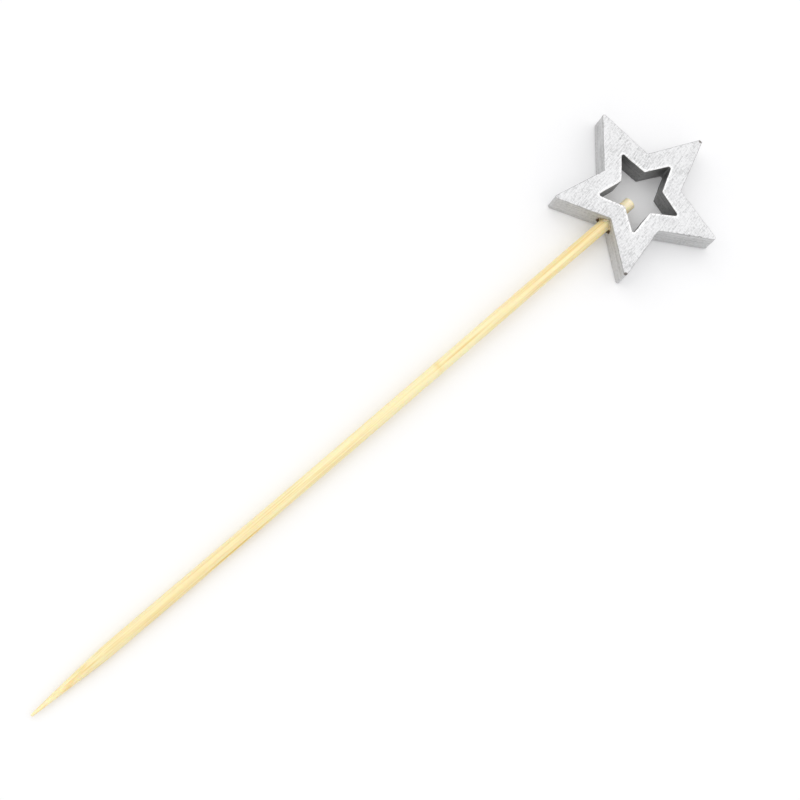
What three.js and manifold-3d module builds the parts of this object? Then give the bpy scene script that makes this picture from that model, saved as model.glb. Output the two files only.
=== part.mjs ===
// Bamboo fruit skewer: a round bamboo stick with a long point, topped by a thick wooden star.
// The star has a star-shaped window through it. The stick goes up a bore drilled from the notch
// between the two lower arms into that window, and is held there by a sleeve of dried glue.
// Millimetres, +Z up. The skewer lies flat: the star's back face is on Z = 0, the stick runs
// along Y with its point towards -Y, and the origin is under the middle of the whole length.

import * as THREE from 'three';
import { mergeVertices } from 'three/addons/utils/BufferGeometryUtils.js';
import Module from 'manifold-3d';

// Stick

const stickDiameter = 2.5;
const stickLength = 150;
const pointLength = 17;
const pointEndDiameter = 0.5;
const pointBulge = 1.15; // 1 is a straight cone, more is a rounder shoulder
const headChamfer = 0.2;
const headOverhang = 2.6; // how far the head stands past the edge of the window

// Star, with its radii measured to the corners before they are rounded

const armCount = 5;
const starThickness = 6;
const armTipRadius = 17.8;
const armNotchRadius = 8.3;
const armTipRounding = 0.2; // at the face, inside the bevel
const armNotchRounding = 0.2;
const windowTipRadius = 8.6;
const windowNotchRadius = 4.3;
const windowTipRounding = 0.3;
const windowNotchRounding = 0.15; // at the face, inside the bevel
const arrisBevel = 0.25;

// Fit of the stick in the star

const glueThickness = 0.35;
const glueGap = 0.05; // between the glue and the wood on either side of it
const glueBead = 0.7; // how far the glue swells out of each end of the bore

// Colours

const bambooColour = 0xf3e3ab;
const silverColour = 0xc9cacb;
const glueColour = 0xe9dfc0;

// Fineness

const roundSides = 32;
const pointRings = 10;
const roundingSteps = 6;

const stickRadius = stickDiameter / 2;
const glueInnerRadius = stickRadius + glueGap;
const glueOuterRadius = glueInnerRadius + glueThickness;
const boreRadius = glueOuterRadius + glueGap;
const headY = headOverhang - windowNotchRadius; // Y here is measured from the star's centre
const pointY = headY - stickLength;

const wasm = await Module();
wasm.setup();

function toManifold(geometry) {
  const bare = geometry.clone();
  bare.deleteAttribute('normal');
  bare.deleteAttribute('uv');
  const merged = mergeVertices(bare);
  const mesh = new wasm.Mesh({
    numProp: 3,
    vertProperties: merged.attributes.position.array,
    triVerts: merged.index.array,
  });
  return new wasm.Manifold(mesh);
}

function toGeometry(manifold) {
  const mesh = manifold.getMesh();
  const geometry = new THREE.BufferGeometry();
  geometry.setAttribute('position', new THREE.BufferAttribute(mesh.vertProperties, 3));
  geometry.setIndex(new THREE.BufferAttribute(mesh.triVerts, 1));
  geometry.computeVertexNormals();
  return geometry;
}

// Corners of a star, in turn a notch and a tip, with one notch straight down towards the stick.
function starCorners(tipRadius, notchRadius, tipRounding, notchRounding) {
  const corners = [];
  for (let i = 0; i < armCount * 2; i += 1) {
    const isTip = i % 2 === 1;
    const reach = isTip ? tipRadius : notchRadius;
    const angle = -Math.PI / 2 + (i * Math.PI) / armCount;
    const point = new THREE.Vector2(reach * Math.cos(angle), reach * Math.sin(angle));
    corners.push({ point, rounding: isTip ? tipRounding : notchRounding });
  }
  return corners;
}

// Draws straight edges from corner to corner, with an arc in place of each corner.
function drawRounded(path, corners) {
  corners.forEach(({ point, rounding }, i) => {
    const before = corners[(i + corners.length - 1) % corners.length].point;
    const after = corners[(i + 1) % corners.length].point;
    const back = before.clone().sub(point).normalize();
    const ahead = after.clone().sub(point).normalize();
    const halfAngle = Math.acos(back.dot(ahead)) / 2;
    const inset = rounding / Math.tan(halfAngle);
    const start = back.clone().multiplyScalar(inset).add(point);
    const end = ahead.clone().multiplyScalar(inset).add(point);
    const centre = back.clone().add(ahead).setLength(rounding / Math.sin(halfAngle)).add(point);
    const from = start.clone().sub(centre).angle();
    const to = end.clone().sub(centre).angle();
    const clockwise = back.cross(ahead) > 0;
    if (i === 0) path.moveTo(start.x, start.y);
    else path.lineTo(start.x, start.y);
    path.absarc(centre.x, centre.y, rounding, from, to, clockwise);
  });
  path.closePath();
  return path;
}

// A flat star with its window and softened edges. Corners that the bevel narrows, the arms' tips
// and the window's notches, are rounded by the bevel's width more than they are at the face.
function starBlank() {
  const outline = starCorners(
    armTipRadius, armNotchRadius, armTipRounding + arrisBevel, armNotchRounding);
  const opening = starCorners(
    windowTipRadius, windowNotchRadius, windowTipRounding, windowNotchRounding + arrisBevel);
  const shape = drawRounded(new THREE.Shape(), outline);
  shape.holes.push(drawRounded(new THREE.Path(), opening));
  const geometry = new THREE.ExtrudeGeometry(shape, {
    depth: starThickness - 2 * arrisBevel,
    bevelEnabled: true,
    bevelThickness: arrisBevel,
    bevelSize: arrisBevel,
    bevelOffset: -arrisBevel,
    bevelSegments: 2,
    curveSegments: roundingSteps,
  });
  return geometry.translate(0, 0, arrisBevel);
}

// The star, drilled from below its lower notch up into the window.
function starGeometry() {
  const drill = new THREE.CylinderGeometry(boreRadius, boreRadius, armTipRadius, roundSides);
  drill.translate(0, -armTipRadius / 2, starThickness / 2);
  return toGeometry(toManifold(starBlank()).subtract(toManifold(drill)));
}

function stickGeometry() {
  const endRadius = pointEndDiameter / 2;
  const profile = [new THREE.Vector2(0, pointY)];
  for (let i = 0; i <= pointRings; i += 1) {
    const along = i / pointRings;
    const swell = 1 - (1 - along) ** pointBulge;
    const radius = endRadius + (stickRadius - endRadius) * swell;
    profile.push(new THREE.Vector2(radius, pointY + pointLength * along));
  }
  profile.push(new THREE.Vector2(stickRadius, headY - headChamfer));
  profile.push(new THREE.Vector2(stickRadius - headChamfer, headY));
  profile.push(new THREE.Vector2(0, headY));
  return new THREE.LatheGeometry(profile, roundSides);
}

// A thin sleeve that fills the bore round the stick and swells a little out of both mouths.
function glueGeometry() {
  const lowerMouth = -armNotchRadius;
  const upperMouth = -windowNotchRadius;
  const lipRadius = (glueInnerRadius + glueOuterRadius) / 2;
  const profile = [
    new THREE.Vector2(glueInnerRadius, lowerMouth - glueBead),
    new THREE.Vector2(lipRadius, lowerMouth - glueBead),
    new THREE.Vector2(glueOuterRadius, lowerMouth - glueBead / 2),
    new THREE.Vector2(glueOuterRadius, upperMouth + glueBead / 2),
    new THREE.Vector2(lipRadius, upperMouth + glueBead),
    new THREE.Vector2(glueInnerRadius, upperMouth + glueBead),
    new THREE.Vector2(glueInnerRadius, lowerMouth - glueBead),
  ];
  return new THREE.LatheGeometry(profile, roundSides);
}

const silver = new THREE.MeshStandardMaterial({
  color: silverColour, roughness: 0.4, metalness: 0.7 });
const bamboo = new THREE.MeshStandardMaterial({
  color: bambooColour, roughness: 0.55, metalness: 0 });
const driedGlue = new THREE.MeshStandardMaterial({
  color: glueColour, roughness: 0.3, metalness: 0 });

function subPart(name, geometry, material) {
  const mesh = new THREE.Mesh(geometry, material);
  mesh.name = name;
  return mesh;
}

const star = subPart('star', starGeometry(), silver);
const stick = subPart('bamboo_stick', stickGeometry(), bamboo);
const glue = subPart('glue', glueGeometry(), driedGlue);
stick.position.z = starThickness / 2;
glue.position.z = starThickness / 2;

const group = new THREE.Group();
group.add(star, stick, glue);

// The origin goes under the middle of the whole length.
const middle = new THREE.Box3().setFromObject(group).getCenter(new THREE.Vector3());
group.position.set(-middle.x, -middle.y, 0);

export default group;
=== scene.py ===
"""Looks of a bamboo fruit skewer: a round bamboo stick glued into a silver-painted wooden star.

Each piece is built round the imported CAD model, in metres and in its frame. The stick runs along Y
with its point towards -Y, and the star lies flat, with its front face towards +Z.
"""

import math
import random

import bmesh
import bpy
import numpy as np
from mathutils import Matrix, Vector, kdtree, noise
from mathutils.geometry import delaunay_2d_cdt


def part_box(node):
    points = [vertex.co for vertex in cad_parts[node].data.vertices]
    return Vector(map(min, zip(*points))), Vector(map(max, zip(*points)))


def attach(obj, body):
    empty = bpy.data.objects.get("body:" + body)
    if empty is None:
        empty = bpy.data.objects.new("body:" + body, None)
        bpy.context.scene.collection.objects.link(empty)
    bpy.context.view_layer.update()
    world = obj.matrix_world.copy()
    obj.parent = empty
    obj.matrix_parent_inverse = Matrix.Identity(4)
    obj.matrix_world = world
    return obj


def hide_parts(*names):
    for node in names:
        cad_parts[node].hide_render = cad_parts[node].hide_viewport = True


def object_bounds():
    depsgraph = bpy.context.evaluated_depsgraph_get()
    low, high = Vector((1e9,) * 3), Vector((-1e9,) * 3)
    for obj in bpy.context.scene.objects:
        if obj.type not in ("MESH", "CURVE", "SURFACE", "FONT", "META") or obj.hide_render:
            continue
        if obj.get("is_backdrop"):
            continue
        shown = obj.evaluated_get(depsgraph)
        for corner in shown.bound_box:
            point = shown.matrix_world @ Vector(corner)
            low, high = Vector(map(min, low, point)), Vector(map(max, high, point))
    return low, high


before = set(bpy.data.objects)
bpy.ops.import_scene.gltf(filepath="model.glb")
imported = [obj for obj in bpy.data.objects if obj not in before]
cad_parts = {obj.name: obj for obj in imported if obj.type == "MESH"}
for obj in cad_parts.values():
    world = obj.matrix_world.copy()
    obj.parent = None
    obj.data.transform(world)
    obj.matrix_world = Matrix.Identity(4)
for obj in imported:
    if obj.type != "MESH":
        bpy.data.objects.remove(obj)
CAD_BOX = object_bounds()

bl_info = {
    "name": "Bamboo Fruit Skewer",
    "version": (1, 0, 0),
    "blender": (4, 5, 0),
    "location": "3D View > Sidebar > Skewer",
    "description": "Builds a bamboo fruit skewer with a silver-painted wooden star",
    "category": "Add Mesh",
}

MM = 0.001
ROOT = "root"
STAR_LOW, STAR_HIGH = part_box("star")
STICK_LOW, STICK_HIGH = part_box("bamboo_stick")
GLUE_LOW, GLUE_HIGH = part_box("glue")
GLUE_GAP = 0.05 * MM  # between the CAD model's glue and bore
STICK_RADIUS = (STICK_HIGH.x - STICK_LOW.x) / 2
STICK_LENGTH = STICK_HIGH.y - STICK_LOW.y
BORE_RADIUS = (GLUE_HIGH.x - GLUE_LOW.x) / 2 + GLUE_GAP
AXIS_Z = (STICK_HIGH.z + STICK_LOW.z) / 2
ARMS = 5
UP = Vector((0, 0, 1))
JOIN_DISTANCE = 0.0001 * MM
SLIVER_WIDTH = 0.002 * MM


def clamp(value):
    """The value, kept between 0 and 1."""
    return min(max(value, 0.0), 1.0)


def smooth_step(low, high, value):
    """0 up to low, 1 from high on, and a smooth rise between them."""
    t = clamp((value - low) / (high - low))
    return t * t * (3 - 2 * t)


def wave(place, size, shift=0.0):
    """Smooth noise from -1 to 1 at a place, for bumps of that size along each axis.

    Another shift gives another pattern.
    """
    x, y, z = (p / s for p, s in zip(place, size))
    return noise.noise((x, y, z + shift))


def linear(hex_colour):
    """An sRGB hex colour as linear red, green, blue and alpha."""
    channels = [int(hex_colour[i:i + 2], 16) / 255 for i in (1, 3, 5)]
    return tuple(
        c / 12.92 if c <= 0.04045 else ((c + 0.055) / 1.055) ** 2.4 for c in channels) + (1.0,)


# Sizes and colours that a user would change


def length(name, size, description):
    """A property that holds a size, with its default in millimetres."""
    return bpy.props.FloatProperty(
        name=name, description=description, default=size * MM, unit="LENGTH")


def colour(name, hex_colour, description):
    """A property that holds a linear colour, with its default as sRGB hex."""
    return bpy.props.FloatVectorProperty(
        name=name, description=description, default=linear(hex_colour), subtype="COLOR", size=4)


class SkewerStar(bpy.types.PropertyGroup):
    """The wooden star, with its radii measured to the corners before they are rounded."""

    tip_radius: length("Tip radius", 17.8, "Star's centre to the corner of an arm")
    notch_radius: length("Notch radius", 8.3, "Star's centre to the notch between two arms")
    tip_rounding: length("Tip rounding", 0.45, "Radius of an arm's corner, seen from the front")
    notch_rounding: length("Notch rounding", 0.2, "Radius at the bottom of a notch")
    window_tip_radius: length(
        "Window tip radius", 8.6, "Star's centre to a corner of the window")
    window_notch_radius: length(
        "Window notch radius", 4.3, "Star's centre to a point of the window's rim")
    window_tip_rounding: length("Window tip rounding", 0.3, "Radius in a corner of the window")
    window_notch_rounding: length(
        "Window notch rounding", 0.4, "Radius of a point of the window's rim")
    arris: length("Arris", 0.24, "Radius of the sanded edge between a face and a wall")
    bore_radius: length(
        "Bore radius", BORE_RADIUS / MM, "Radius of the drilled hole for the stick")
    grain_angle: bpy.props.FloatProperty(
        name="Grain angle", description="Direction of the wood's grain, from the X axis",
        default=math.radians(100), subtype="ANGLE")
    face_colour: colour("Face colour", "#D7D7D8", "Silver paint on the faces")
    # The wall and window colours are darker partly as painted shade: the walls face sideways and
    # the window is a recess
    shaded_wall_colour: colour("Wall colour", "#CBCBCB", "Thinner paint on the sawn walls")
    shaded_window_colour: colour("Window colour", "#868686", "Overspray inside the window")
    # The rim colour is a painted highlight along the window's edge
    rim_highlight_colour: colour("Rim colour", "#F0F0F0", "Thick bright paint along the window's edge")
    wood_colour: colour("Wood colour", "#6E5B46", "Bare wood in and round the bore")
    chip_colour: colour("Chip colour", "#75716C", "Grimy wood in the chipped tips")


class SkewerStick(bpy.types.PropertyGroup):
    """The bamboo stick, sharpened at one end and cut square at the other."""

    point_length: length("Point length", 17, "Length of the sharpened end")
    point_end_radius: length("Point end radius", 0.25, "Radius of the blunt end of the point")
    point_bulge: bpy.props.FloatProperty(
        name="Point bulge", description="1 is a straight cone, more is a rounder shoulder",
        default=1.15)
    head_chamfer: length("Head chamfer", 0.2, "Width of the softened edge of the head")
    node_place: length("Node place", 52, "Distance of the bamboo's joint ring from the head")
    light_colour: colour("Light colour", "#FFF0C0", "Soft pale wood between the fibres")
    dark_colour: colour("Dark colour", "#E4BC5C", "Fibre strands")
    # The head colour is partly painted light, paler to lift the head out of the window's shade
    lit_head_colour: colour("Head colour", "#FFF6DE", "Freshly cut wood of the head")


class SkewerGlue(bpy.types.PropertyGroup):
    """The dried glue between the stick and the bore."""

    creep: length("Creep", 0.5, "How far the glue creeps along the stick out of the bore")
    shrink: length("Shrink", 0.45, "How far the glue sinks into the bore beside its wall")
    thin_colour: colour("Thin colour", "#EEE3BE", "Dried wood glue where it lies thin")
    thick_colour: colour("Thick colour", "#C9AE74", "Dried wood glue where it lies thick")


class SkewerStage(bpy.types.PropertyGroup):
    """Floor, light and camera."""

    floor_colour: colour("Floor colour", "#F4F4F5", "Plain pale floor")
    lens: bpy.props.FloatProperty(
        name="Lens", description="Focal length on a 36 mm wide sensor", default=98,
        unit="CAMERA")


# Shapes


def towards(corner, reach):
    """The point that far from (0, 0) towards a corner: 0 is the notch at the stick, 1 a tip."""
    angle = -math.pi / 2 + corner * math.pi / ARMS
    return Vector((reach * math.cos(angle), reach * math.sin(angle), 0))


def star_corners(tip_radius, notch_radius, tip_rounding, notch_rounding):
    """Corners of a star round (0, 0) with their roundings, a notch and a tip in turn."""
    sizes = ((notch_radius, notch_rounding), (tip_radius, tip_rounding)) * ARMS
    return [(towards(i, reach).to_2d(), rounding) for i, (reach, rounding) in enumerate(sizes)]


def rounded_outline(corners, spacing, arc_steps):
    """Points along the star's edges and its rounded corners, as an array of X and Y."""
    arcs = []
    for i, (point, rounding) in enumerate(corners):
        back = (corners[i - 1][0] - point).normalized()
        ahead = (corners[(i + 1) % len(corners)][0] - point).normalized()
        half = math.acos(back.dot(ahead)) / 2
        inset = rounding / math.tan(half)
        centre = point + (back + ahead).normalized() * (rounding / math.sin(half))
        start = point + back * inset - centre
        turn = start.angle_signed(point + ahead * inset - centre)
        arcs.append([centre + Matrix.Rotation(-turn * step / arc_steps, 2) @ start
                     for step in range(arc_steps + 1)])
    points = []
    for i, arc in enumerate(arcs):
        points.extend(arc)
        after = arcs[(i + 1) % len(arcs)][0]
        count = max(int((after - arc[-1]).length / spacing), 1)
        points.extend(arc[-1].lerp(after, step / count) for step in range(1, count))
    return np.array([tuple(p) for p in points])


def outward_normals(points):
    """Unit normals of a closed outline that runs anticlockwise, pointing out of it."""
    ahead = np.roll(points, -1, axis=0) - points
    ahead /= np.linalg.norm(ahead, axis=1)[:, None]
    mean = ahead + np.roll(ahead, 1, axis=0)
    mean /= np.linalg.norm(mean, axis=1)[:, None]
    return np.stack([mean[:, 1], -mean[:, 0]], axis=1)


def inside(points, outline):
    """Which of the points lie inside a closed outline."""
    x, y = points.T[:, :, None]
    x0, y0 = outline.T[:, None]
    x1, y1 = np.roll(outline, -1, axis=0).T[:, None]
    crosses = (y0 > y) != (y1 > y)
    with np.errstate(divide="ignore", invalid="ignore"):
        cut = x0 + (y - y0) * (x1 - x0) / (y1 - y0)
    return (crosses & (x < cut)).sum(axis=1) % 2 == 1


def mesh_object(name, vertices, faces):
    """A new object with that mesh, joined where its stretches meet, with its faces out."""
    mesh = bpy.data.meshes.new(name)
    mesh.from_pydata([tuple(v) for v in vertices], [], [tuple(f) for f in faces])
    body = bmesh.new()
    body.from_mesh(mesh)
    bmesh.ops.remove_doubles(body, verts=body.verts, dist=JOIN_DISTANCE)
    bmesh.ops.recalc_face_normals(body, faces=body.faces)
    body.to_mesh(mesh)
    body.free()
    piece = bpy.data.objects.new(name, mesh)
    bpy.context.scene.collection.objects.link(piece)
    return piece


def read_vectors(items, key):
    """One vector of each item, as an array with a row each."""
    values = np.zeros(len(items) * 3)
    items.foreach_get(key, values)
    return values.reshape(-1, 3)


def write_attribute(mesh, name, data):
    """Stores one number for each vertex, for a material to read."""
    attribute = mesh.attributes.new(name, "FLOAT", "POINT")
    attribute.data.foreach_set("value", np.array(data, dtype=np.float32))


def cut_away(piece, cutter):
    """Cuts the cutter's shape out of the piece, and removes the cutter."""
    cut = piece.modifiers.new("cut", "BOOLEAN")
    cut.operation = "DIFFERENCE"
    cut.solver = "EXACT"
    cut.object = cutter
    bpy.context.view_layer.update()
    evaluated = piece.evaluated_get(bpy.context.evaluated_depsgraph_get())
    mesh = bpy.data.meshes.new_from_object(evaluated)
    if not mesh.polygons:
        raise RuntimeError(f"the cut left nothing of {piece.name}")
    remove_slivers(mesh)
    piece.modifiers.clear()
    mesh.name = piece.name
    piece.data = mesh
    bpy.data.objects.remove(cutter)


def remove_slivers(mesh):
    """Removes what a cut leaves over: faces without area, and pairs of faces back to back."""
    body = bmesh.new()
    body.from_mesh(mesh)
    bmesh.ops.triangulate(body, faces=body.faces)
    bmesh.ops.dissolve_degenerate(body, edges=body.edges, dist=SLIVER_WIDTH)
    by_corners = {}
    for face in body.faces:
        by_corners.setdefault(frozenset(face.verts), []).append(face)
    doubled = [face for faces in by_corners.values() if len(faces) > 1 for face in faces]
    bmesh.ops.delete(body, geom=doubled, context="FACES")
    body.to_mesh(mesh)
    body.free()


def finish_piece(piece, node, material, smooth_to):
    """Gives a piece its shading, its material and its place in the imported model.

    smooth_to is an angle in degrees, and edges sharper than that stay sharp.
    """
    piece.data.shade_smooth()
    piece.data.set_sharp_from_angle(angle=math.radians(smooth_to))
    piece.data.materials.clear()
    piece.data.materials.append(material)
    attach(piece, ROOT)
    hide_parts(node)


def around(sides):
    """Cosine and sine of even steps round an axis."""
    angles = [2 * math.pi * i / sides for i in range(sides)]
    return [(math.cos(angle), math.sin(angle)) for angle in angles]


def ring_faces(first, second, count):
    """Quads between two closed rings of that many points, by their first numbers."""
    return [(first + i, first + (i + 1) % count, second + (i + 1) % count, second + i)
            for i in range(count)]


def tube_faces(rings, sides):
    """Quads between rings of points that follow each other."""
    return [face for ring in range(rings - 1)
            for face in ring_faces(ring * sides, (ring + 1) * sides, sides)]


def gap_finder(points):
    """A function that gives the distance of an X and Y from the nearest of the points."""
    tree = kdtree.KDTree(len(points))
    for i, point in enumerate(points):
        tree.insert((*point, 0), i)
    tree.balance()
    return lambda x, y: tree.find((x, y, 0))[2]


# Materials


COLOURS = {"data_type": "RGBA"}  # settings of a Mix node that mixes colours


def node_adder(tree):
    """Empties a node tree, and gives the function that adds a node to it."""
    tree.nodes.clear()

    def add(kind, settings=None, /, **links):
        """Adds a node, with its settings by attribute and its inputs by name or number.

        kind is the node's type without ShaderNode in front. An input's name has _ for each
        space, and in_0 means input number 0. A socket is linked, a node is linked by the first
        output that it has in use, and any other value is set.
        """
        node = tree.nodes.new("ShaderNode" + kind)
        for key, value in (settings or {}).items():
            setattr(node, key, value)
        for key, value in links.items():
            name = int(key[3:]) if key.startswith("in_") else key.replace("_", " ")
            if isinstance(value, bpy.types.Node):
                value = next(output for output in value.outputs if output.enabled)
            if isinstance(value, bpy.types.NodeSocket):
                tree.links.new(value, node.inputs[name])
            else:
                node.inputs[name].default_value = value
        return node

    return add


def new_material(name):
    """An empty node material, and the function that adds its nodes."""
    material = bpy.data.materials.new(name)
    material.use_nodes = True
    return material, node_adder(material.node_tree)


def object_space(add):
    """Coordinates on the object in millimetres, and its normals.

    A Mapping node of type TEXTURE then takes the size of a pattern's spots along each axis.
    """
    place = add("TexCoord")
    in_mm = add("VectorMath", {"operation": "SCALE"}, in_0=place.outputs["Object"], Scale=1 / MM)
    return in_mm, place.outputs["Normal"]


# Silver aluminium-flake paint, sprayed over a sanded and sawn wooden star. The faces catch the
# spray and come out pale, gritty and bright, with the wood's grain standing through in short
# streaks. The sawn walls soak it up and stay a flatter grey with the saw's lines along them, and
# that grey is partly painted shade, darker because the walls face sideways. The window's inside
# gets overspray only, and its dark grey is partly painted shade of the recess. A painted
# highlight runs along the window's rim, and a line of painted shade along the outer arris. The
# wood is bare round the bore and in the chips.
def silver_paint(values, centre):
    material, add = new_material("silver_flake_paint_sprayed_on_wood")
    in_mm, normal = object_space(add)
    upright = add("SeparateXYZ", in_0=normal)
    flatness = add("Math", {"operation": "ABSOLUTE"}, in_0=upright.outputs["Z"])
    window = add("Attribute", {"attribute_name": "window_wall"}).outputs["Fac"]

    # The face's coat wraps over the window's arris, and stops at the outer one. Past it the walls'
    # colour takes over, darker partly as painted shade, by how far the surface faces sideways
    coat_starts = add("MapRange", Value=window, To_Min=0.66, To_Max=0.2)
    coat_ends = add("MapRange", Value=window, To_Min=0.96, To_Max=0.6)
    on_face = add("MapRange", Value=flatness, From_Min=coat_starts, From_Max=coat_ends)

    # Sizes in millimetres. The dried spray's grit is under 0.1 mm and its flakes about 0.03 mm,
    # and both are drawn coarser so that they show. The coat is uneven in clouds of about 4 mm.
    grit_size, flake_size, cloud_size = 0.4, 0.12, 4.0
    grit = add("TexNoise", Vector=in_mm, Scale=1 / grit_size, Detail=3.0, Roughness=0.75)
    flakes = add("TexVoronoi", {"feature": "F1"}, Vector=in_mm, Scale=1 / flake_size)
    cloud = add("TexNoise", Vector=in_mm, Scale=1 / cloud_size, Detail=3.0, Roughness=0.55)
    relief, pores = wood_relief(add, in_mm, on_face, grit, values.grain_angle)
    pattern = add("Mix", in_0=0.15, in_2=relief, in_3=cloud)
    # The third mark is painted shade along the outer arris
    marks = (pores, flakes.outputs["Color"], painted_arris_shade(add, flatness, window))
    painted = add("VectorMath", {"operation": "SCALE"},
                  in_0=paint_colour(add, on_face, window, values),
                  Scale=paint_shade(add, pattern, marks, on_face, window))

    chip = add("Attribute", {"attribute_name": "chip"}).outputs["Fac"]
    ring = bare_ring(add, in_mm, flatness, grit, values, centre)
    bare = add("Math", {"operation": "MAXIMUM"}, in_0=ring, in_1=chip)
    wood = add("Mix", COLOURS, in_0=chip, in_6=values.wood_colour, in_7=values.chip_colour)
    wood_shade = add("MapRange", Value=relief, From_Min=0.35, From_Max=0.65,
                     To_Min=0.55, To_Max=1.3)
    wood = add("VectorMath", {"operation": "SCALE"}, in_0=wood, Scale=wood_shade)
    shown = add("Mix", COLOURS, in_0=bare, in_6=painted, in_7=wood)

    # Half of what the eye meets is metal flake, and the other half its clear binder
    metal = add("MapRange", Value=bare, To_Min=0.5, To_Max=0.0)
    rough = add("MapRange", Value=pattern, From_Min=0.35, From_Max=0.65, To_Min=0.55, To_Max=0.36)
    bump = add("Bump", Strength=0.7, Distance=0.07 * MM, Height=relief)
    surface = add("BsdfPrincipled", Base_Color=shown, Metallic=metal, Roughness=rough, Normal=bump)
    add("OutputMaterial", Surface=surface)
    return material


def wood_relief(add, in_mm, on_face, grit, grain_angle):
    """The wood's grain under the paint: its height, and how far the paint sank into pores.

    The faces have streaks along the grain, broad ones and fine ones, and the walls have the
    saw's lines, a little wavy and about 0.45 mm apart.
    """
    along_grain = (0, 0, grain_angle)
    patterns = []
    # The pattern's turn, its spots' size in millimetres, and its detail, roughness and waviness
    for turn, size, detail, roughness, wavy in (
            (along_grain, (3.2, 0.32, 0.6), 2.0, 0.6, 0.2),
            (along_grain, (2.0, 0.2, 0.4), 3.0, 0.65, 0.15),
            (along_grain, (1.8, 0.22, 0.4), 1.0, 0.5, 0.0),
            ((0, 0, 0), (12.0, 12.0, 0.45), 3.0, 0.6, 0.3)):
        space = add("Mapping", {"vector_type": "TEXTURE"}, Vector=in_mm, Rotation=turn, Scale=size)
        patterns.append(add("TexNoise", Vector=space, Scale=1.0, Detail=detail,
                            Roughness=roughness, Distortion=wavy))
    broad, fine, pore, saw = patterns
    pores = add("MapRange", Value=pore, From_Min=0.58, From_Max=0.68)
    streaks = add("Mix", in_0=0.5, in_2=broad, in_3=fine)
    lines = add("Mix", in_0=on_face, in_2=saw, in_3=streaks)
    relief = add("Mix", in_0=0.52, in_2=lines, in_3=grit)
    return relief, pores


def painted_arris_shade(add, flatness, window):
    """1, and less along the outer arris, where painted shade makes the paint look darker."""
    most = add("MapRange", Value=window, To_Min=0.3, To_Max=0.0)
    off_wall = add("MapRange", Value=flatness, From_Min=0.1, From_Max=0.4, To_Max=most)
    off_face = add("MapRange", Value=flatness, From_Min=0.8, From_Max=0.98, To_Min=1.0, To_Max=0.0)
    lost = add("Math", {"operation": "MULTIPLY"}, in_0=off_wall, in_1=off_face)
    return add("Math", {"operation": "SUBTRACT"}, in_0=1.0, in_1=lost)


def paint_shade(add, pattern, marks, on_face, window):
    """How light the paint is by place, with its marks: pores, flakes and painted shade along the
    outer arris.

    The window's coat is the most uneven, with streaks where the spray ran, and the outer
    walls' coat is the most even.
    """
    on_wall = add("MapRange", Value=window, To_Min=0.72, To_Max=0.6)
    darkest = add("MapRange", Value=on_face, To_Min=on_wall, To_Max=0.68)
    shade = add("MapRange", Value=pattern, From_Min=0.39, From_Max=0.53, To_Min=darkest,
                To_Max=1.04)
    pores, flakes, arris_mark = marks
    deepest = add("MapRange", Value=on_face, To_Min=0.92, To_Max=0.78)
    sunk = add("MapRange", Value=pores, To_Min=1.0, To_Max=deepest)
    sparkle = add("MapRange", Value=flakes, To_Min=0.94, To_Max=1.06)
    for change in (sunk, sparkle, arris_mark):
        shade = add("Math", {"operation": "MULTIPLY"}, in_0=shade, in_1=change)
    return shade


def paint_colour(add, on_face, window, values):
    """The paint's colour on the faces, along the window's rim, on the walls and in the window.

    The rim's colour is a painted highlight, and the walls and the window are darker partly as
    painted shade.
    """
    rim = add("Attribute", {"attribute_name": "window_rim"}).outputs["Fac"]
    wall = add("Mix", COLOURS, in_0=window, in_6=values.shaded_wall_colour, in_7=values.shaded_window_colour)
    face = add("Mix", COLOURS, in_0=rim, in_6=values.face_colour, in_7=values.rim_highlight_colour)
    return add("Mix", COLOURS, in_0=on_face, in_6=wall, in_7=face)


def bare_ring(add, in_mm, flatness, grit, values, centre):
    """1 in a ragged ring of bare wood round the bore, on the walls below the star's centre."""
    off_axis = add("Mapping", Vector=in_mm, Scale=(1, 0, 1), Location=(0, 0, -AXIS_Z / MM))
    reach = add("VectorMath", {"operation": "LENGTH"}, in_0=off_axis)
    ragged = add("MapRange", Value=grit, From_Min=0.3, From_Max=0.7, To_Min=-0.25, To_Max=0.25)
    reach = add("Math", {"operation": "ADD"}, in_0=reach, in_1=ragged)
    bore = values.bore_radius / MM
    ring = add("MapRange", Value=reach, From_Min=bore + 0.12, From_Max=bore + 0.32,
               To_Min=1.0, To_Max=0.0)
    along = add("SeparateXYZ", in_0=in_mm)
    below = add("Math", {"operation": "LESS_THAN"}, in_0=along.outputs["Y"], in_1=centre.y / MM)
    off_face = add("MapRange", Value=flatness, From_Min=0.7, From_Max=0.95, To_Min=1.0, To_Max=0.0)
    for mask in (below, off_face):
        ring = add("Math", {"operation": "MULTIPLY"}, in_0=ring, in_1=mask)
    return ring


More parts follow.
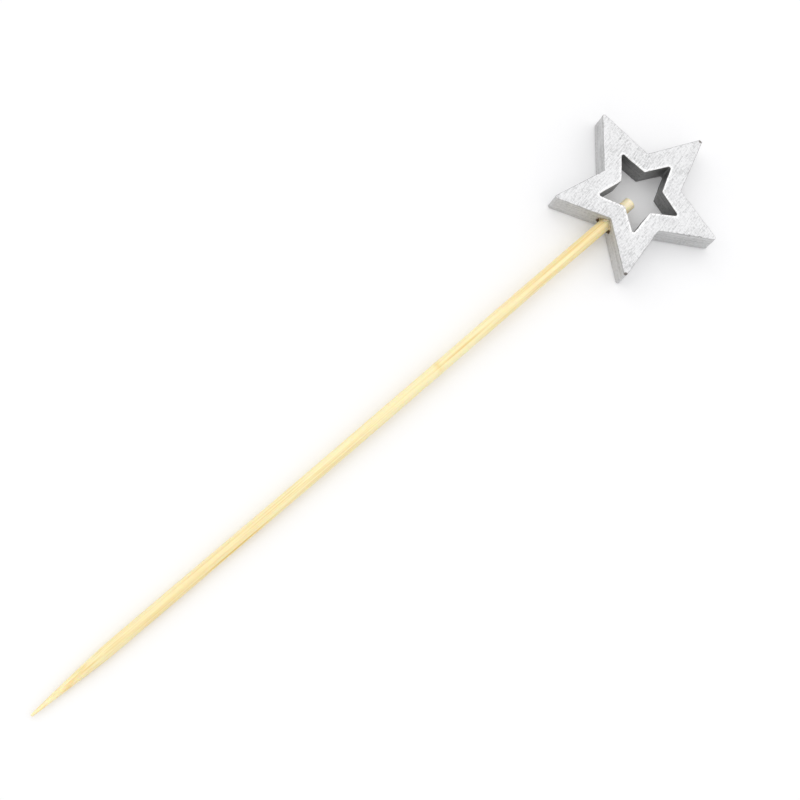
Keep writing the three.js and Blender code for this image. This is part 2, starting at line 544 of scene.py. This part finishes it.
# Bamboo, turned to a round stick, sanded and left bare. Fibre strands run the whole length, so
# they show as fine tan lines along the side, as long slivers on the point and dots on the head.
# The soft wood between them is creamy and a little translucent.
def bare_bamboo(values):
    material, add = new_material("bamboo_turned_and_sanded")
    in_mm, normal = object_space(add)
    # Strands that wander slowly across the stick, and slow change of tone along and across it.
    # Dark bundles of fibre, 0.3 mm thick and 0.9 mm apart, come and go every 40 mm.
    strand_size, tone_size, bundle_size = (0.25, 30.0, 0.25), (2.5, 24.0, 2.5), (0.9, 40.0, 0.9)
    strand_space, tone_space, bundle_space = (
        add("Mapping", {"vector_type": "TEXTURE"}, Vector=in_mm, Scale=size)
        for size in (strand_size, tone_size, bundle_size))
    strands = add("TexNoise", Vector=strand_space, Scale=1.0, Detail=3.0,
                  Roughness=0.65, Distortion=0.1)
    tone = add("TexNoise", Vector=tone_space, Scale=1.0, Detail=2.0, Roughness=0.5)
    bundles = add("TexVoronoi", {"feature": "F1"}, Vector=bundle_space, Scale=1.0, Randomness=0.9)
    bundle = add("MapRange", Value=bundles, From_Min=0.1, From_Max=0.32, To_Min=0.9, To_Max=0.0)
    sliver = add("MapRange", Value=strands, From_Min=0.46, From_Max=0.72, To_Min=0.0, To_Max=0.6)
    fibre = add("Math", {"operation": "MAXIMUM"}, in_0=sliver, in_1=bundle)
    tinted = add("MapRange", Value=tone, From_Min=0.35, From_Max=0.7, To_Min=-0.12, To_Max=0.22)
    amount = add("Math", {"operation": "ADD", "use_clamp": True}, in_0=fibre, in_1=tinted)

    # The head is paler, partly as freshly cut wood and partly as painted light that lifts it out
    # of the window's shade, with its fibres as small dots
    facing = add("SeparateXYZ", in_0=normal)
    cut_end = add("MapRange", Value=facing.outputs["Y"], From_Min=0.6, From_Max=0.95)
    place = add("SeparateXYZ", in_0=in_mm)
    head = STICK_HIGH.y / MM
    head_side = add("MapRange", Value=place.outputs["Y"], From_Min=head - 3.5,
                    From_Max=head - 1.5, To_Max=0.55)
    cut_and_lit = add("Math", {"operation": "MAXIMUM"}, in_0=cut_end, in_1=head_side)
    soft_wood = add("Mix", COLOURS, in_0=cut_and_lit, in_6=values.light_colour, in_7=values.lit_head_colour)
    fading = add("MapRange", Value=cut_and_lit, To_Min=1.0, To_Max=0.25)
    amount = add("Math", {"operation": "MULTIPLY"}, in_0=amount, in_1=fading)
    ring = add("Attribute", {"attribute_name": "node_ring"}).outputs["Fac"]
    amount = add("Math", {"operation": "ADD", "use_clamp": True}, in_0=amount, in_1=ring)
    wood = add("Mix", COLOURS, in_0=amount, in_6=soft_wood, in_7=values.dark_colour)
    rough = add("MapRange", Value=strands, From_Min=0.3, From_Max=0.7, To_Min=0.4, To_Max=0.6)
    bump = add("Bump", Strength=0.5, Distance=0.03 * MM, Height=strands)
    surface = add("BsdfPrincipled", Base_Color=wood, Roughness=rough, IOR=1.5,
                  Subsurface_Weight=0.4, Subsurface_Radius=(1.0, 0.6, 0.25),
                  Subsurface_Scale=0.6 * MM, Normal=bump)
    add("OutputMaterial", Surface=surface)
    return material


# White wood glue, squeezed out and dried. It is cloudy, yellowish where it is thick, and shiny.
def dried_glue(values):
    material, add = new_material("wood_glue_dried")
    in_mm, _ = object_space(add)
    cloud_size = 0.4  # mm
    cloud = add("TexNoise", Vector=in_mm, Scale=1 / cloud_size, Detail=2.0, Roughness=0.5)
    thick = add("MapRange", Value=cloud, From_Min=0.35, From_Max=0.65)
    tint = add("Mix", COLOURS, in_0=thick, in_6=values.thin_colour, in_7=values.thick_colour)
    bump = add("Bump", Strength=0.3, Distance=0.05 * MM, Height=cloud)
    surface = add("BsdfPrincipled", Base_Color=tint, Roughness=0.28, IOR=1.47,
                  Subsurface_Weight=0.3, Subsurface_Scale=0.5 * MM, Normal=bump)
    add("OutputMaterial", Surface=surface)
    return material


# Matt white paper, a little lifted where it is looked at, so that it comes out white
def pale_floor(values):
    material, add = new_material("pale_floor_matt")
    paper = add("BsdfDiffuse", Color=values.floor_colour)
    lift = add("Emission", Color=(1, 1, 1, 1), Strength=0.08)
    lifted = add("AddShader", in_0=paper, in_1=lift)
    shown = add("MixShader", in_0=looked_at(add), in_1=paper, in_2=lifted)
    add("OutputMaterial", Surface=shown)
    return material


def looked_at(add):
    """1 for what the camera sees, also by reflection or through something clear."""
    path = add("LightPath")
    seen = path.outputs["Is Camera Ray"]
    for ray in ("Is Glossy Ray", "Is Transmission Ray"):
        seen = add("Math", {"operation": "MAXIMUM"}, in_0=seen, in_1=path.outputs[ray])
    return seen


# Star


def star_outlines(values, spacing, arc_steps):
    """The star's outer outline and its window's, round (0, 0)."""
    outer = star_corners(values.tip_radius, values.notch_radius,
                         values.tip_rounding, values.notch_rounding)
    window = star_corners(values.window_tip_radius, values.window_notch_radius,
                          values.window_tip_rounding, values.window_notch_rounding)
    return [rounded_outline(corners, spacing, arc_steps) for corners in (outer, window)]


def star_centre(values):
    """The star's centre on its back face, found from the top arm's rounded corner."""
    outer, _ = star_outlines(values, spacing=1 * MM, arc_steps=8)
    return Vector((0, STAR_HIGH.y - outer[:, 1].max(), STAR_LOW.z))


def wall_loops(outline, arris, height, side):
    """Loops of points from the back face's edge, up the wall, to the front face's edge.

    side is 1 on the outside and -1 in the window. arris is a function of the point's number and
    of whether it is on the front, and gives the edge's radius there.
    """
    arc_steps = 4
    wall_rows = 18
    normals = outward_normals(outline)
    loops = []
    for end in (0, 1):
        radii = np.array([arris(i, end) for i in range(len(outline))])
        rows = []
        for step in range(arc_steps + 1):
            angle = step / arc_steps * math.pi / 2
            inset = radii * (1 - math.sin(angle))
            drop = radii * (1 - math.cos(angle))
            xy = outline - side * normals * inset[:, None]
            z = height - drop if end else drop
            rows.append(np.column_stack([xy, z]))
        loops.append(rows)
    back, front = loops
    low, high = back[-1], front[-1]
    wall = [low + (high - low) * row / wall_rows for row in range(1, wall_rows)]
    return back + wall + front[::-1]


class SKEWER_OT_star(bpy.types.Operator):
    """Build the painted wooden star"""

    bl_idname = "skewer.star"
    bl_label = "Star"

    grid = 0.2 * MM  # between the mesh's points, along the outline and on the faces
    corner_steps = 6

    # Wear of the arris, as shares of its set radius, and how fast it changes per millimetre
    least_arris = 0.8
    rubbed_share = 0.5
    ragged_share = 0.3
    wear_pace = 0.45
    rag_pace = 5.1  # times the pace of the wear
    wear_seed = 4.0

    # Relief in millimetres, sunk by so much that none of it stands past the CAD model
    grain_height = 0.026
    fine_height = 0.02
    saw_height = 0.035
    lump_height = 0.035
    relief_sunk = 0.035

    # The bore's drill, and how much wider and rougher its torn mouth is, in millimetres
    drill_sides = 64
    drill_rings = 70
    drill_roughness = 0.05
    torn_mouth = 0.12

    # Chipped tips: the arm's number, the height, and the chip's radius in millimetres
    chips = ((0, STAR_HIGH.z, 0.34), (2, STAR_HIGH.z, 0.4), (3, STAR_LOW.z, 0.36))
    chip_inset = 0.72 * MM

    # Torn edge: where it starts and ends, from the notch, and how far a nibble's splinters reach
    torn_start = 3.2 * MM
    torn_end = 8.5 * MM
    splinter_reach = 1.45
    torn_seed = 11

    def execute(self, context):
        values = context.scene.skewer_star
        height = STAR_HIGH.z - STAR_LOW.z
        centre = star_centre(values)
        outer, window = star_outlines(values, self.grid, self.corner_steps)
        vertices, faces, rims = [], [], []
        for outline, side in ((outer, 1), (window, -1)):
            stack = wall_loops(outline, self.worn_arris(values, outline, side), height, side)
            count = len(outline)
            for row, loop in enumerate(stack):
                if row:
                    faces.extend(ring_faces(len(vertices) - count, len(vertices), count))
                vertices.extend(loop)
            rims.append((stack[0], stack[-1]))
        for outer_rim, window_rim in zip(*rims):
            self.fill_face(vertices, faces, outer_rim, window_rim)
        piece = mesh_object("silver_star", vertices, faces)
        self.roughen(piece, values)
        piece.data.transform(Matrix.Translation(centre))
        cut_away(piece, self.drill(values, centre))
        chips = self.chipped_tips(values, centre)
        cut_away(piece, self.lumps(chips + self.torn_edge(values, centre)))
        self.mark(piece, values, centre, chips, window)
        finish_piece(piece, "star", silver_paint(values, centre), smooth_to=50)
        return {"FINISHED"}

    def worn_arris(self, values, outline, side):
        """The edge's radius by point: mostly even, with a few worn and ragged places."""
        def radius(i, end):
            x, y = outline[i] / MM
            place = Vector((x * self.wear_pace, y * self.wear_pace,
                            self.wear_seed + 7 * end + side))
            arris_mark = smooth_step(0.15, 0.55, noise.noise(place))
            ragged = smooth_step(0.1, 0.5, noise.noise(place * self.rag_pace))
            return values.arris * (
                self.least_arris + self.rubbed_share * arris_mark + self.ragged_share * ragged)
        return radius

    def fill_face(self, vertices, faces, outer_rim, window_rim):
        """Fills a face between its two rims with small triangles that the grain can move."""
        clear_of_rim = 0.55 * self.grid
        outer, window = outer_rim[:, :2], window_rim[:, :2]
        z = outer_rim[:, 2].mean()
        low, high = outer.min(axis=0), outer.max(axis=0)
        row_step = self.grid * math.sqrt(3) / 2
        columns, rows = ((high - low) / (self.grid, row_step)).astype(int)
        row, column = np.mgrid[0:rows + 1, 0:columns + 1]
        x = low[0] + (column + 0.5 * (row % 2)) * self.grid
        y = low[1] + row * row_step
        points = np.column_stack([x.ravel(), y.ravel()])
        points = points[inside(points, outer) & ~inside(points, window)]
        rim = np.vstack([outer, window])
        gap = gap_finder(rim)
        flat = [Vector(p) for p in rim] + [Vector(p) for p in points if gap(*p) > clear_of_rim]
        edges = []
        for first, count in ((0, len(outer)), (len(outer), len(window))):
            edges += [(first + i, first + (i + 1) % count) for i in range(count)]
        placed, _, triangles, *_ = delaunay_2d_cdt(flat, edges, [], 0, 1e-9)
        placed = np.array([tuple(p) for p in placed])
        triangles = np.array(triangles)
        middles = placed[triangles].mean(axis=1)
        kept = triangles[inside(middles, outer) & ~inside(middles, window)]
        faces.extend(kept + len(vertices))
        vertices.extend(np.column_stack([placed, np.full(len(placed), z)]))

    def roughen(self, piece, values):
        """Moves the surface a little: raised grain on the faces, saw marks on the walls."""
        cos, sin = math.cos(values.grain_angle), math.sin(values.grain_angle)
        places = read_vectors(piece.data.vertices, "co")
        normals = read_vectors(piece.data.vertices, "normal")
        for i, (place, normal) in enumerate(zip(places / MM, normals)):
            x, y, z = place
            in_grain = (x * cos + y * sin, y * cos - x * sin, z)
            flat = smooth_step(0.6, 0.95, abs(normal[2]))
            face_move = self.grain_height * wave(in_grain, (3.0, 0.5, 1.0))
            face_move += self.fine_height * wave(in_grain, (1.5, 0.35, 1.0), shift=9)
            wall_move = self.saw_height * wave(place, (5, 5, 0.5))
            wall_move += self.lump_height * wave(place, (1.3, 1.3, 1.3), shift=4)
            move = flat * face_move + (1 - flat) * wall_move - self.relief_sunk
            places[i] += normal * move * MM
        piece.data.vertices.foreach_set("co", places.ravel())
        piece.data.update()

    def drill(self, values, centre):
        """A rough-sided drill from below the lower notch up into the window.

        It widens where it left the wood, because the mouth's edge tore out there.
        """
        sides, rings = self.drill_sides, self.drill_rings
        vertices = []
        for ring in range(rings + 1):
            y = -values.tip_radius * ring / rings
            torn = smooth_step(values.notch_radius - 0.3 * MM, values.notch_radius + 1 * MM, -y)
            rough = self.drill_roughness + self.torn_mouth * torn
            for cos, sin in around(sides):
                splinter = noise.noise((cos * 2, y / MM / 0.6, sin * 2))
                radius = values.bore_radius + (self.torn_mouth * torn + rough * splinter) * MM
                vertices.append((radius * cos, y, radius * sin))
        faces = tube_faces(rings + 1, sides)
        faces.append(tuple(range(sides)))
        faces.append(tuple(range(rings * sides, (rings + 1) * sides))[::-1])
        cutter = mesh_object("bore_cutter", vertices, faces)
        cutter.data.transform(Matrix.Translation((centre.x, centre.y, AXIS_Z)))
        return cutter

    def chipped_tips(self, values, centre):
        """Places and radii of the chips that have blunted three of the tips."""
        places = []
        for arm, z, radius in self.chips:
            spot = centre + towards(2 * arm + 1, values.tip_radius - self.chip_inset)
            spot.z = z
            places.append((spot, radius * MM))
        return places

    def torn_edge(self, values, centre):
        """Places and radii of the nibbles along one stretch of the front arris.

        The saw tore the wood there before it was painted. The stretch is on the right arm, on
        its edge that faces the stick. The nibbles stay clear of each other.
        """
        draw = random.Random(self.torn_seed)
        notch, tip = towards(2, values.notch_radius), towards(3, values.tip_radius)
        ahead = (tip - notch).normalized()
        outward = ahead.cross(UP)
        nibbles = []
        along = self.torn_start
        while along < self.torn_end:
            radius = draw.uniform(0.26, 0.48) * MM
            along += radius * self.splinter_reach
            spot = centre + notch + ahead * along + outward * draw.uniform(0.0, 0.12) * MM
            spot.z = STAR_HIGH.z + draw.uniform(-0.1, 0.06) * MM
            nibbles.append((spot, radius))
            along += radius * self.splinter_reach + draw.uniform(0, 0.2) * MM
        return nibbles

    def lumps(self, places):
        """Lumps to cut with, rounded on one side and broken on the other."""
        body = bmesh.new()
        for spot, radius in places:
            made = bmesh.ops.create_icosphere(body, subdivisions=3, radius=radius)
            for vertex in made["verts"]:
                broken = noise.noise(vertex.co / radius * 1.3 + spot / MM)
                splinters = noise.noise(vertex.co / radius * 4.5 + spot / MM)
                vertex.co *= 1 + 0.5 * broken + 0.45 * splinters
                vertex.co += spot
        cutter = mesh_object("chip_cutter", [v.co for v in body.verts],
                             [[v.index for v in face.verts] for face in body.faces])
        body.free()
        return cutter

    def mark(self, piece, values, centre, chips, window):
        """Writes where the chips, the window's walls and its rim are, for the paint. The rim
        carries a painted highlight.
        """
        mesh = piece.data
        places = read_vectors(mesh.vertices, "co")
        chip = np.zeros(len(places))
        for spot, radius in chips:
            reach = np.linalg.norm(places - np.array(spot), axis=1) / radius
            chip = np.maximum(chip, np.clip(4.2 - 2.8 * reach, 0, 1))
        write_attribute(mesh, "chip", chip)
        off = places - np.array(centre)
        bearing = np.arctan2(off[:, 1], off[:, 0])
        in_window = np.hypot(off[:, 0], off[:, 1]) < self.middle_radius(values, bearing)
        write_attribute(mesh, "window_wall", in_window)
        gap = gap_finder(window)
        # The window's rim, where the paint gets its painted highlight
        rim = [1 - smooth_step(0.25 * MM, 0.65 * MM, gap(x, y)) for x, y, _ in off]
        write_attribute(mesh, "window_rim", rim)

    def middle_radius(self, values, bearing):
        """Radius of the star halfway between the window and the outline, in that direction."""
        spread = math.pi / ARMS
        turn = np.abs((bearing + math.pi / 2 + spread) % (2 * spread) - spread)
        notch = (values.notch_radius + values.window_notch_radius) / 2
        tip = (values.tip_radius + values.window_tip_radius) / 2
        step_x, step_y = tip * math.cos(spread) - notch, tip * math.sin(spread)
        return notch * step_y / (step_y * np.cos(turn) - step_x * np.sin(turn))


# Stick


class SKEWER_OT_stick(bpy.types.Operator):
    """Build the sharpened bamboo stick"""

    bl_idname = "skewer.stick"
    bl_label = "Stick"

    sides = 72
    ring_spacing = 0.55 * MM
    head_rings = 6
    point_rounding = 0.05 * MM
    head_unevenness = 0.02 * MM

    # The joint ring, and how strongly it is coloured where it is faint and where it is bold
    ring_width = 0.55 * MM
    ring_wander = 0.25 * MM
    ring_faint = 0.12
    ring_bold = 0.45

    # The stick bows sideways between its point and the star, where it is straight again
    bow = 0.22 * MM
    bow_share = 0.94

    # Relief of a full-thickness stick in millimetres, sunk by so much that it stays round
    ridge_height = 0.014
    swell_height = 0.016
    ring_height = 0.03
    relief_sunk = 0.02

    def execute(self, context):
        values = context.scene.skewer_stick
        rings = self.profile(values)
        vertices = [self.place(values, radius, along, cos, sin)
                    for radius, along in rings for cos, sin in around(self.sides)]
        faces = tube_faces(len(rings), self.sides)
        tip, last = len(vertices), len(vertices) - self.sides
        vertices += [(0, STICK_LOW.y, AXIS_Z), (0, STICK_HIGH.y - self.head_unevenness, AXIS_Z)]
        for i in range(self.sides):
            j = (i + 1) % self.sides
            faces += [(i, tip, j), (last + i, last + j, tip + 1)]
        piece = mesh_object("bamboo_splint", vertices, faces)
        self.mark_ring(piece, values)
        finish_piece(piece, "bamboo_stick", bare_bamboo(values), smooth_to=55)
        return {"FINISHED"}

    def profile(self, values):
        """Radius and distance from the point's end of each ring."""
        rings = [(values.point_end_radius * 0.6, 0.0)]
        count = int(STICK_LENGTH / self.ring_spacing)
        start, end = self.point_rounding, STICK_LENGTH - values.head_chamfer
        for i in range(count + 1):
            along = start + (end - start) * i / count
            share = clamp(along / values.point_length)
            swell = 1 - (1 - share) ** values.point_bulge
            radius = values.point_end_radius
            radius += (STICK_RADIUS - values.point_end_radius) * swell
            rings.append((radius, along))
        for i in range(1, self.head_rings + 1):
            share = i / self.head_rings
            if share <= 0.5:
                turn = share * math.pi
                radius = STICK_RADIUS - values.head_chamfer * (1 - math.cos(turn))
                along = end + values.head_chamfer * math.sin(turn)
            else:
                radius = (STICK_RADIUS - values.head_chamfer) * (2 - 2 * share + 0.1)
                along = STICK_LENGTH
            rings.append((radius, along))
        return rings

    def place(self, values, radius, along, cos, sin):
        """A point of the surface, with fibre ridges, slow swells, the joint ring and a bow.

        The ridges are about 30 mm long and a fifth of the radius wide, the swells 9 mm long.
        """
        y = along / MM
        ridges = noise.noise((cos * 5.5, sin * 5.5, y / 30))
        swell = noise.noise((cos * 1.2, sin * 1.2, y / 9 + 20))
        full = clamp(radius / STICK_RADIUS)
        move = self.ridge_height * ridges + self.swell_height * swell - self.relief_sunk
        move += self.ring_height * self.on_ring(values, STICK_LENGTH - along)
        radius += full * move * MM
        share = clamp(along / (STICK_LENGTH * self.bow_share))
        bend = self.bow * math.sin(math.pi * share) ** 2
        dent = 0.0
        if along >= STICK_LENGTH:
            dent = noise.noise((cos * radius / MM * 3, sin * radius / MM * 3, 7))
        return (
            bend + radius * cos,
            STICK_LOW.y + along - self.head_unevenness * abs(dent),
            AXIS_Z + radius * sin,
        )

    def on_ring(self, values, from_head):
        """1 on the crest of the bamboo's joint ring, falling off on both sides."""
        gap = (from_head - values.node_place) / self.ring_width
        return math.exp(-gap * gap)

    def mark_ring(self, piece, values):
        """Writes how strongly the joint ring colours each point: in patches round the stick."""
        data = []
        for vertex in piece.data.vertices:
            from_head = STICK_HIGH.y - vertex.co.y
            wander = self.ring_wander * noise.noise(vertex.co / MM * 1.2)
            side = Vector((vertex.co.x, 0, vertex.co.z - AXIS_Z)) / STICK_RADIUS
            patch = smooth_step(-0.1, 0.4, noise.noise(side * 1.3))
            strength = self.ring_faint + (self.ring_bold - self.ring_faint) * patch
            data.append(strength * self.on_ring(values, from_head + wander))
        write_attribute(piece.data, "node_ring", data)


# Glue


class SKEWER_OT_glue(bpy.types.Operator):
    """Build the sleeve of dried glue between the stick and the bore"""

    bl_idname = "skewer.glue"
    bl_label = "Glue"

    sides = 96
    end_rings = 9
    inner_radius = STICK_RADIUS - 0.04 * MM
    wall_gap = 0.03 * MM

    def execute(self, context):
        values = context.scene.skewer_glue
        star = context.scene.skewer_star
        lower = self.end(values, star, -1, star.tip_radius, star.notch_radius)
        upper = self.end(values, star, 1, star.window_tip_radius, star.window_notch_radius)
        rings = lower + upper[::-1]
        vertices = [point for ring in rings for point in ring]
        faces = tube_faces(len(rings), self.sides)
        faces += ring_faces((len(rings) - 1) * self.sides, 0, self.sides)
        piece = mesh_object("glue_sleeve", vertices, faces)
        finish_piece(piece, "glue", dried_glue(values), smooth_to=80)
        return {"FINISHED"}

    def end(self, values, star, way, tip_radius, notch_radius):
        """Rings over one end of the sleeve, from the stick out to the wall of the bore.

        The glue has crept up the stick in some places, and sunk into the bore in others. way is
        1 for the end towards the head and -1 for the end towards the point.
        """
        mouth_y = star_centre(star).y - notch_radius
        # How far the wall beside the bore falls back for each millimetre sideways
        beside = towards(1, tip_radius)
        slope = -(beside.y + notch_radius) / beside.x
        width = star.bore_radius - self.wall_gap - self.inner_radius
        rings = []
        for row in range(self.end_rings):
            share = row / (self.end_rings - 1)
            radius = self.inner_radius + width * share
            ring = []
            for cos, sin in around(self.sides):
                blot = noise.noise((cos * 1.1, sin * 1.1, 5 + 3 * way))
                ripple = noise.noise((cos * 3, sin * 3, 8 + way))
                climb = values.creep * (0.35 + 1.6 * max(blot + 0.3 * ripple, -0.2))
                sunk = values.shrink * (1 - 1.4 * blot)
                rise = climb * (1 - share) ** 2 - sunk * share ** 0.7
                wall = mouth_y - abs(radius * cos) * slope
                ring.append((radius * cos, wall + way * rise, AXIS_Z + radius * sin))
            rings.append(ring)
        return rings


# Floor, light and camera


class SKEWER_OT_stage(bpy.types.Operator):
    """Set the pale floor, the soft light and the camera"""

    bl_idname = "skewer.stage"
    bl_label = "Stage"

    # The camera's place in the photograph, seen from the star's centre
    camera_offset = Vector((21.3, -181.4, 390)) * MM
    photo_up = Vector((-0.70, 0.51, 0.50))
    aim_shift = 4 * MM
    sensor_width = 36  # mm
    floor_size = 6.0
    room_light = 0.62

    def execute(self, context):
        values = context.scene.skewer_stage
        self.floor(context, values)
        self.world(context)
        up = self.camera(context, values)
        self.softbox(context, up, "key", right=-0.55, ahead=0.45, width=65, power=0.75)
        self.softbox(context, up, "side_fill", right=0.75, ahead=0.35, width=75, power=0.55)
        self.softbox(context, up, "front_fill", right=0.15, ahead=-0.9, width=75, power=0.35)
        context.scene.view_settings.view_transform = "Standard"
        return {"FINISHED"}

    def floor(self, context, values):
        """A floor that leans by a little over half a degree, for the skewer to rest on.

        It touches the two lower corners of the star and the stick's shoulder, where the point
        begins.
        """
        half = self.floor_size / 2
        shoulder = STICK_LOW.y + context.scene.skewer_stick.point_length
        slope = (STICK_LOW.z - STAR_LOW.z) / (STAR_LOW.y - shoulder)
        corners = [(x, y, STAR_LOW.z + slope * (STAR_LOW.y - y))
                   for x, y in ((-half, -half), (half, -half), (half, half), (-half, half))]
        floor = mesh_object("floor", corners, [(0, 1, 2, 3)])
        floor.data.materials.append(pale_floor(values))
        floor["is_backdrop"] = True

    def world(self, context):
        """Even light from all round, and white where it is looked at."""
        world = bpy.data.worlds.new("studio")
        world.use_nodes = True
        add = node_adder(world.node_tree)
        room = add("Background", Color=(1, 1, 1, 1), Strength=self.room_light)
        white = add("Background", Color=(1, 1, 1, 1), Strength=1.0)
        shown = add("MixShader", in_0=looked_at(add), in_1=room, in_2=white)
        add("OutputWorld", Surface=shown)
        context.scene.world = world

    def camera(self, context, values):
        """Sets the camera up, and gives the direction that is upwards in its picture."""
        eye = star_centre(context.scene.skewer_star) + self.camera_offset
        middle_y = (STAR_HIGH.y + STICK_LOW.y) / 2
        forward = (Vector((0, middle_y + self.aim_shift, AXIS_Z)) - eye).normalized()
        right = forward.cross(self.photo_up).normalized()
        up = right.cross(forward)
        turn = Matrix((right, up, -forward)).transposed()
        data = bpy.data.cameras.new("camera")
        data.sensor_width = self.sensor_width
        data.lens = values.lens
        data.clip_start = 0.01
        camera = bpy.data.objects.new("camera", data)
        camera.matrix_world = Matrix.Translation(eye) @ turn.to_4x4()
        context.scene.collection.objects.link(camera)
        context.scene.camera = camera
        return up

    def softbox(self, context, up, name, right, ahead, width, power):
        """A softbox so far away that it lights the floor evenly.

        For each metre up it is that far to the picture's right and towards its top. width is
        the angle that it takes up in the sky, in degrees.
        """
        flat_ahead = (up - UP * up.dot(UP)).normalized()
        direction = right * flat_ahead.cross(UP) + ahead * flat_ahead + UP
        data = bpy.data.lights.new(name, "SUN")
        data.angle = math.radians(width)
        data.energy = power
        lamp = bpy.data.objects.new(name, data)
        lamp.matrix_world = direction.to_track_quat("Z", "Y").to_matrix().to_4x4()
        context.scene.collection.objects.link(lamp)


# Panel


PARTS = (
    (SKEWER_OT_star, "skewer_star", SkewerStar),
    (SKEWER_OT_stick, "skewer_stick", SkewerStick),
    (SKEWER_OT_glue, "skewer_glue", SkewerGlue),
    (SKEWER_OT_stage, "skewer_stage", SkewerStage),
)


class SKEWER_PT_panel(bpy.types.Panel):
    """Lists the skewer's pieces, each with its sizes and colours"""

    bl_idname = "SKEWER_PT_panel"
    bl_label = "Bamboo Fruit Skewer"
    bl_space_type = "VIEW_3D"
    bl_region_type = "UI"
    bl_category = "Skewer"

    def draw(self, context):
        for operator, name, group in PARTS:
            box = self.layout.box()
            box.operator(operator.bl_idname)
            for key in group.__annotations__:
                box.prop(getattr(context.scene, name), key)


def register():
    for operator, name, group in PARTS:
        bpy.utils.register_class(group)
        setattr(bpy.types.Scene, name, bpy.props.PointerProperty(type=group))
        bpy.utils.register_class(operator)
    bpy.utils.register_class(SKEWER_PT_panel)


def unregister():
    bpy.utils.unregister_class(SKEWER_PT_panel)
    for operator, name, group in reversed(PARTS):
        bpy.utils.unregister_class(operator)
        delattr(bpy.types.Scene, name)
        bpy.utils.unregister_class(group)


def main():
    register()
    bpy.ops.skewer.star()
    bpy.ops.skewer.stick()
    bpy.ops.skewer.glue()
    bpy.ops.skewer.stage()
    boxes = {"cad": CAD_BOX, "visual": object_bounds()}
    plain = {name: [list(corner) for corner in box] for name, box in boxes.items()}


if __name__ == "__main__":
    main()
